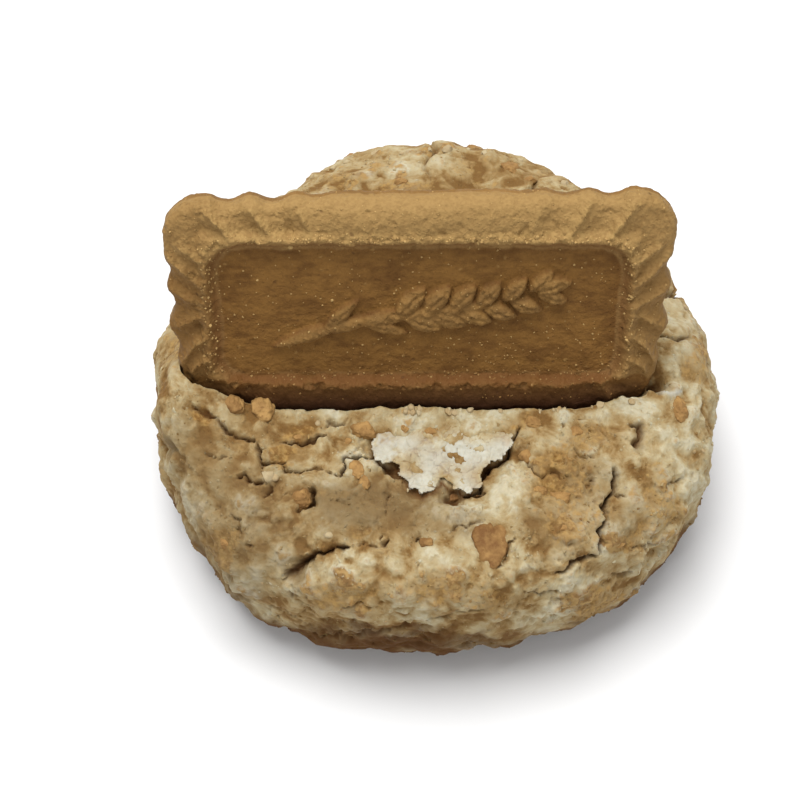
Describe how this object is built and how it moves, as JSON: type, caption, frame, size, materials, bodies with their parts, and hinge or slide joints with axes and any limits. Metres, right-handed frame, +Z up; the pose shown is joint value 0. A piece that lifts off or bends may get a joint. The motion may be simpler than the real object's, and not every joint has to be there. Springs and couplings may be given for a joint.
{
  "type": "speculoos stuffed soft cookie",
  "caption": "Thick round soft cookie with a cracked pale golden crust and a ribbed caramelised biscuit pressed upright into its top, leaning back.",
  "frame": {"origin": "middle of the cookie's flat base, on the surface it rests on", "axes": "+Z up, -Y towards the side that the biscuit's patterned face looks to, +X to the right along the biscuit as seen from that side"},
  "size_m": [0.0763, 0.0757, 0.0517],
  "materials": {
    "baked_dough": "matte, cracked crust, pale golden with browner patches",
    "speculoos": "matte, fine sandy caramel brown"
  },
  "bodies": {
    "root": {"cookie": "baked_dough", "biscuit": "speculoos"}
  },
  "joints": []
}
